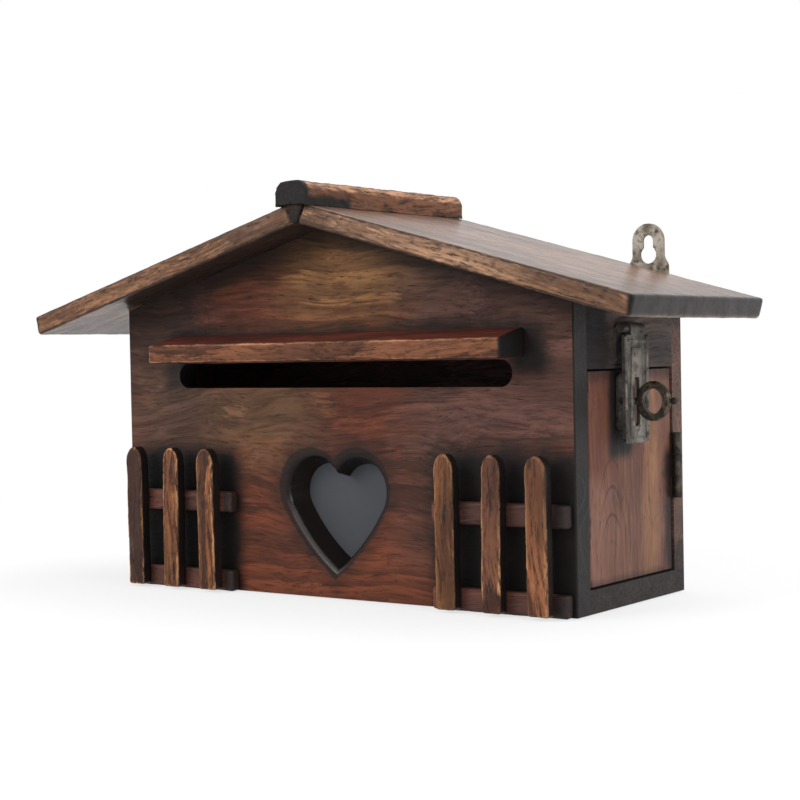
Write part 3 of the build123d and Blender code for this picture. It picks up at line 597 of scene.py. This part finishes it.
picket_finish = wood(
    "picket_wood", grain_z, stain(146, 94, 56), stain(108, 66, 42), stain(56, 35, 27), rings=6.0,
    stretch=0.2, contrast=0.85, broken=0.8, gloss=0.15, shift=(0.8, 0.1, 0.2), rim_char=0.97, rim_at=(0.5, 0.25), bump=0.5,
    hollow_char=0.3, arris=stain(178, 130, 90),
    tints=[((-136, -70, 40), (8, 8, 50), 4, 0.95, stain(76, 56, 50), stain(62, 46, 42)),
           ((108, -70, 40), (8, 8, 50), 4, 0.9, stain(110, 70, 54), stain(86, 55, 44)),
           ((135, -70, 40), (8, 8, 50), 4, 0.8, stain(140, 88, 60), stain(100, 64, 46))],
)
rail_finish = wood(
    "rail_wood", grain_x, stain(112, 68, 55), stain(92, 56, 46), stain(50, 35, 32),
    [((-68, -61, 28), (4, 8, 40), 3, 0.85), ((148, -61, 28), (6, 8, 40), 3, 0.9)],
    rings=6.0, contrast=0.6, shift=(0.4, 0.5, 0.5),
)
print("roof and trim finishes")

# %% [markdown]
# ## Metal
# The hasp and hinge are pressed steel with a dark antique finish, which wears to grey on its high
# places. The ring is blackened, and the hanger plates are zinc gone blotchy. One group makes the blotches,
# scratches and roughness, and each material sets its own three colours, blotch size, metal share and bump.

# %% Node group and metal materials
aged, given, gives = new_group(
    "aged_metal",
    [("Vector", "Vector"), ("Bright", "Color"), ("Dull", "Color"), ("Grime", "Color"), ("Blotch", "Float", 90.0)],
    [("Color", "Color"), ("Roughness", "Float"), ("Height", "Float")],
)
blotch = noise(aged, given["Vector"], given["Blotch"], 5.0, 0.65)
scratch = noise(aged, vector_step(aged, "MULTIPLY", given["Vector"], (900, 900, 120)), 1.0, 2.0)
grime = noise(aged, given["Vector"], 260.0, 3.0, 0.6)
tone = blend_colours(aged, fade(aged, blotch, 0.4, 0.6), given["Dull"], given["Bright"])
tone = blend_colours(aged, math_step(aged, "MULTIPLY", fade(aged, grime, 0.52, 0.66), 0.8), tone, given["Grime"])
worn = math_step(aged, "ADD", fade(aged, blotch, 0.35, 0.65, 0.62, 0.36), math_step(aged, "MULTIPLY", scratch, 0.12))
aged.links.new(tone, gives["Color"])
aged.links.new(worn, gives["Roughness"])
aged.links.new(math_step(aged, "ADD", blotch, math_step(aged, "MULTIPLY", scratch, 0.4)), gives["Height"])


def metal(name, bright, dull, grime_colour, blotch_size=90.0, metallic=0.8, bump=0.25):
    material = bpy.data.materials.new(name)
    material.use_nodes = True
    tree = material.node_tree
    tree.nodes.clear()
    where = add(tree, "ShaderNodeTexCoord").outputs["Object"]
    surface = use_group(tree, aged, {
        "Vector": where, "Bright": bright, "Dull": dull, "Grime": grime_colour, "Blotch": blotch_size,
    })
    normal = add(tree, "ShaderNodeBump", {"Height": surface["Height"], "Strength": bump, "Distance": 0.0004}).outputs[0]
    shader = add(tree, "ShaderNodeBsdfPrincipled", {
        "Base Color": surface["Color"], "Roughness": surface["Roughness"], "Normal": normal, "Metallic": metallic,
    })
    add(tree, "ShaderNodeOutputMaterial", {"Surface": shader.outputs[0]})
    return material


hasp_finish = metal("antique_steel", stain(110, 105, 98), stain(82, 78, 73), stain(58, 54, 51), 60.0, bump=0.1)
ring_finish = metal("blackened_steel", stain(96, 84, 70), stain(50, 46, 42), stain(26, 24, 23), 160.0)
hinge_finish = metal("hinge_steel", stain(80, 72, 64), stain(50, 46, 43), stain(28, 26, 25))
hanger_finish = metal("mottled_zinc", stain(146, 139, 128), stain(102, 93, 80), stain(56, 50, 43), 80.0, 0.85, 0.15)
steel_finish = metal("plain_steel", stain(170, 168, 165), stain(140, 138, 134), stain(80, 78, 76))
print("metal finishes")

# %% [markdown]
# ## Window pane
# Behind the heart lies a dark grey sheet with a satin surface. It shows no grain and no reflections with
# an edge, only a faint unevenness, so a fine noise moves its colour and roughness a little.

# %% Pane
pane_finish = bpy.data.materials.new("grey_pane")
pane_finish.use_nodes = True
tree = pane_finish.node_tree
tree.nodes.clear()
where = add(tree, "ShaderNodeTexCoord").outputs["Object"]
cloud = noise(tree, where, 55.0, 3.0)
colour = blend_colours(tree, cloud, stain(62, 64, 69), stain(70, 72, 77))
rough = fade(tree, cloud, 0.3, 0.7, 0.4, 0.5)
shader = add(tree, "ShaderNodeBsdfPrincipled", {"Base Color": colour, "Roughness": rough, "Specular IOR Level": 0.2})
add(tree, "ShaderNodeOutputMaterial", {"Surface": shader.outputs[0]})
print("pane finish")

# %% [markdown]
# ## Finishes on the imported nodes
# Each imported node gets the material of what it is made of. Their meshes stay as they are.

# %% Assign finishes
def finish_of(name):
    table = {
        "front_panel": front_finish, "back_panel": back_finish, "left_side_panel": side_finish,
        "right_top_board": top_board_finish, "base_board": dark_finish, "door_stop": dark_finish,
        "door": door_finish, "heart_pane": pane_finish, "ridge_cap": ridge_finish, "slot_awning": awning_finish,
        "twist_ring": ring_finish, "pane_clips": steel_finish, "carcase_brads": front_finish,
        "hanger_screws": steel_finish,
    }
    if name in table:
        return table[name]
    starts = [("roof_panel_left", roof_left_finish), ("roof_panel", roof_right_finish), ("hanger", hanger_finish), ("door_hinge", hinge_finish), ("hasp", hasp_finish),
              ("ring", hasp_finish)]
    for start, finish in starts:
        if name.startswith(start):
            return finish
    return rail_finish if "rail" in name else picket_finish


for name, node_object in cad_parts.items():
    node_object.data.materials.clear()
    node_object.data.materials.append(finish_of(name))
print(len(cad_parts), "nodes have their finish")

# %% [markdown]
# ## Helpers for carved pieces
# The fences, the awning and the roof boards were shaped by hand: their faces show shallow gouge marks
# and no arris runs straight. Sculpting would do, but can't be repeated by a script. Instead each piece is
# modelled from a cube, gets an even skin of small faces from a voxel remesh, and is then displaced: by
# round clouds for the uneven arrises, and by cells for the gouge marks. How deep each point went is
# kept as an attribute, so that the finish can leave char in the hollows.

# %% Carving helpers
def block(name, low, high):
    """A sawn block between two corners, in millimetres."""
    bpy.ops.object.select_all(action="DESELECT")
    low, high = Vector(low) * mm, Vector(high) * mm
    bpy.ops.mesh.primitive_cube_add(size=1, location=(low + high) / 2)
    piece = bpy.context.object
    piece.name = name
    piece.data.name = name
    piece.scale = high - low
    bpy.ops.object.transform_apply(location=True, rotation=False, scale=True)
    return piece


def select_where(piece, test, kind="VERT"):
    """In edit mode, selects only the points, edges or faces for which test is true of their middle, in mm."""
    bpy.ops.mesh.select_all(action="DESELECT")
    bpy.ops.mesh.select_mode(type=kind)
    bpy.ops.object.mode_set(mode="OBJECT")
    mesh = piece.data
    if kind == "VERT":
        for point in mesh.vertices:
            point.select = test(point.co / mm)
    elif kind == "FACE":
        for side in mesh.polygons:
            side.select = test(side.center / mm)
    else:
        for edge in mesh.edges:
            first, second = (mesh.vertices[index].co for index in edge.vertices)
            edge.select = test((first + second) / 2 / mm)
    bpy.ops.object.mode_set(mode="EDIT")


def use_modifier(piece, kind, **settings):
    bpy.ops.object.select_all(action="DESELECT")
    piece.select_set(True)
    bpy.context.view_layer.objects.active = piece
    modifier = piece.modifiers.new(kind.lower(), kind)
    for key, value in settings.items():
        setattr(modifier, key, value)
    bpy.ops.object.modifier_apply(modifier=modifier.name)


def texture(name, kind, size_mm, **settings):
    made = bpy.data.textures.new(name, kind)
    made.noise_scale = size_mm * mm
    for key, value in settings.items():
        setattr(made, key, value)
    return made


waves = texture("uneven_arris", "CLOUDS", 11, noise_depth=2)
gouges = texture("gouge_marks", "VORONOI", 4.2, noise_intensity=1.0)


def finish_block(piece, face_mm, arris_mm=1.0):
    """Eases all the arrises and gives the block an even skin of small faces."""
    bpy.context.view_layer.objects.active = piece
    bpy.ops.object.mode_set(mode="EDIT")
    bpy.ops.mesh.select_all(action="SELECT")
    bpy.ops.mesh.remove_doubles(threshold=0.00001)
    bpy.ops.object.mode_set(mode="OBJECT")
    use_modifier(piece, "BEVEL", width=arris_mm * mm, segments=2, limit_method="ANGLE", angle_limit=math.radians(40))
    use_modifier(piece, "REMESH", mode="VOXEL", voxel_size=face_mm * mm, adaptivity=0.0)


def wear(piece, wave_mm, gouge_mm, where=lambda place: True):
    """Displaces the skin. where tells, from a point's place in millimetres, which points the gouge cut."""
    before = [point.co.copy() for point in piece.data.vertices]
    use_modifier(piece, "DISPLACE", texture=waves, texture_coords="LOCAL", strength=wave_mm * mm, mid_level=0.55)
    cut = piece.vertex_groups.new(name="gouged")
    cut.add([point.index for point in piece.data.vertices if where(point.co / mm)], 1.0, "REPLACE")
    use_modifier(piece, "DISPLACE", texture=gouges, texture_coords="LOCAL", strength=gouge_mm * mm, mid_level=0.9,
                 vertex_group="gouged")
    depths = [min(1.0, (old - new.co).length / mm / (gouge_mm + wave_mm * 0.5) * 1.1)
              for old, new in zip(before, piece.data.vertices)]
    hollow = piece.data.attributes.new("hollow", "FLOAT", "POINT")
    hollow.data.foreach_set("value", depths)
    bpy.ops.object.shade_smooth_by_angle(angle=math.radians(60))
    print(piece.name, len(piece.data.polygons), "faces")


def settle(piece, node, finish):
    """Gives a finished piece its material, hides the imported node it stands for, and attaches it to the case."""
    piece.data.materials.append(finish)
    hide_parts(node)
    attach(piece, "case")


print("carving helpers ready")

# %% [markdown]
# ## Roof boards
# Each roof board is a plain board, 11 mm thick, whose front edge was gouged rough. It is made lying
# flat, where the voxel grid follows its faces, and its inner end is slanted to meet the keel of the
# ridge. Only then it is turned to the roof's pitch and moved to the ridge.

# %% Roof boards
pitch = math.radians(15.6)
ridge_underside = 159 + 150 * math.tan(pitch)
board_thick = 11
eave_along = 196 / math.cos(pitch)
roof_front, wall_back = -87, 58

for side, name, finish in ((-1, "roof_panel_left", roof_left_finish), (1, "roof_panel_right", roof_right_finish)):
    near, far = 1.56, eave_along
    ends = sorted((side * near, side * far))
    board = block("carved_" + name, (ends[0], roof_front, 0), (ends[1], wall_back, board_thick))
    bpy.ops.object.mode_set(mode="EDIT")
    select_where(board, lambda place: abs(place.x) < 5 and place.z > 5)
    bpy.ops.transform.translate(value=(side * 1.6 * mm, 0, 0))
    bpy.ops.object.mode_set(mode="OBJECT")
    finish_block(board, 1.15)
    wear(board, 0.5, 0.85, lambda place: place.y < roof_front + 0.9)
    board.location = (0, 0, ridge_underside * mm)
    board.rotation_euler = (0, side * pitch, 0)
    bpy.ops.object.transform_apply(location=True, rotation=True, scale=False)
    settle(board, name, finish)

# %% [markdown]
# ## Awning
# The awning is a strip with a sloping top. Its front was rubbed back to reddish wood and its right
# end burned. One cube does it: the top edge at the board is raised for the slope.

# %% Awning
awning = block("carved_awning", (-112, -82, 128.5), (122, -58, 138.5))
bpy.ops.object.mode_set(mode="EDIT")
select_where(awning, lambda place: place.y > -60 and place.z > 135)
bpy.ops.transform.translate(value=(0, 0, 5.5 * mm))
bpy.ops.object.mode_set(mode="OBJECT")
finish_block(awning, 0.8)
wear(awning, 0.5, 0.5, lambda place: place.y < -81)
settle(awning, "slot_awning", awning_finish)

# %% [markdown]
# ## Fences
# A picket is a slat whose top was rounded to a blunt point with a few cuts. The cuts are made as in
# wood, by extruding the top in steps that get narrower. Every picket is then worn on its own, and since
# the noise reads its place on the box, no two look alike.

# %% Pickets and rails
picket_front, picket_back = -72, -64.5
shoulder_height, picket_foot = 72.0, 1.0


def picket(name, middle_x, lean, half):
    slat = block("carved_" + name, (middle_x - half, picket_front, picket_foot), (middle_x + half, picket_back, shoulder_height))
    bpy.ops.object.mode_set(mode="EDIT")
    select_where(slat, lambda place: place.z > shoulder_height - 1, "FACE")
    height, width = shoulder_height, 1.0
    for rise, share in ((2.6, 0.94), (2.5, 0.77), (1.9, 0.51), (1.3, 0.18)):
        bpy.ops.mesh.extrude_region_move(TRANSFORM_OT_translate={"value": (0, 0, rise * mm)})
        height += rise
        centre = (middle_x * mm, (picket_front + picket_back) / 2 * mm, height * mm)
        bpy.ops.transform.resize(value=(share / width, 1, 1), center_override=centre)
        width = share
    bpy.ops.mesh.select_all(action="SELECT")
    foot = (middle_x * mm, 0, picket_foot * mm)
    bpy.ops.transform.rotate(value=math.radians(lean), orient_axis="Y", center_override=foot)
    bpy.ops.object.mode_set(mode="OBJECT")
    finish_block(slat, 0.62, 1.7)
    wear(slat, 0.8, 0.55, lambda place: place.y < picket_front + 0.8)
    settle(slat, name, picket_finish)


for side_name, fence_middle in (("left", -108), ("right", 108)):
    for number, lean, half in ((1, 0.3, 5.9), (2, -0.6, 5.7), (3, 0.5, 6.1)):
        picket("fence_%s_picket_%d" % (side_name, number), fence_middle + (number - 2) * 27.2, lean, half)
    for level, low in (("lower", 0.0), ("upper", 44.2)):
        name = "fence_%s_rail_%s" % (side_name, level)
        rail = block("carved_" + name, (fence_middle - 40, -64.5, low), (fence_middle + 40, -58, low + 11.6))
        finish_block(rail, 0.75)
        wear(rail, 0.4, 0.3, lambda place: place.y < -63.5)
        settle(rail, name, rail_finish)

# %% [markdown]
# ## Ridge cap
# The cap is one bar with rounded upper corners and a keel below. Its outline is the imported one, so a
# copy of that node is merged, given an even skin and worn like the rest.

# %% Ridge cap
bpy.ops.object.select_all(action="DESELECT")
packed_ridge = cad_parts["ridge_cap"]
ridge = packed_ridge.copy()
ridge.data = packed_ridge.data.copy()
ridge.name = ridge.data.name = "carved_ridge"
ridge.data.materials.clear()
bpy.context.collection.objects.link(ridge)
finish_block(ridge, 0.9, 0.6)
wear(ridge, 0.7, 0.45, lambda place: place.z > 205 and place.y > -88)
settle(ridge, "ridge_cap", ridge_finish)

# %% [markdown]
# ## Raised border and tongue of the hasp strap
# The strap is pressed from sheet: a border and a middle tongue, with the slot in it, stand slightly
# proud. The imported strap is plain. The raised parts are thin frames laid on its face, each made from a
# block whose front and back are inset and joined into a window. They swing with the strap.

# %% Hasp border and tongue
strap_face = 156.3


def pressed_frame(name, low, high, margin, lowered=0.0, cut=0.0):
    """A thin upright frame. margin is its width, and lowered brings the window's top edge further down."""
    frame_piece = block(name, low, high)
    bpy.ops.object.mode_set(mode="EDIT")
    select_where(frame_piece, lambda place: abs(place.x - low[0]) < 0.01 or abs(place.x - high[0]) < 0.01, "FACE")
    bpy.ops.mesh.inset(thickness=margin * mm)
    bpy.ops.mesh.bridge_edge_loops()
    window_top = high[2] - margin
    select_where(frame_piece, lambda place: abs(place.z - window_top) < 0.05 and low[1] + 0.1 < place.y < high[1] - 0.1)
    bpy.ops.transform.translate(value=(0, 0, -lowered * mm))
    select_where(frame_piece, lambda place: (place.z > high[2] - 0.05) and cut > 0)
    centre = ((low[0] + high[0]) / 2 * mm, (low[1] + high[1]) / 2 * mm, high[2] * mm)
    bpy.ops.transform.resize(value=(1, 1 - cut, 1), center_override=centre)
    bpy.ops.object.mode_set(mode="OBJECT")
    use_modifier(frame_piece, "BEVEL", width=0.22 * mm, segments=3, limit_method="ANGLE", angle_limit=math.radians(40))
    bpy.ops.object.shade_smooth_by_angle(angle=math.radians(50))
    frame_piece.data.materials.append(raised_finish)
    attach(frame_piece, "hasp_strap")
    print(name, len(frame_piece.data.polygons), "faces")


raised_finish = metal("worn_antique_steel", stain(128, 122, 113), stain(92, 87, 80), stain(62, 58, 54), 60.0, bump=0.1)
pressed_frame("hasp_border", (strap_face, -17.7, 84.0), (156.8, 6.7, 136.5), 2.0)
pressed_frame("hasp_tongue", (strap_face, -12.6, 87.4), (156.8, 1.6, 132.5), 4.4, 10.8, 0.3)

# %% [markdown]
# ## The end

# %% The end
print("done")
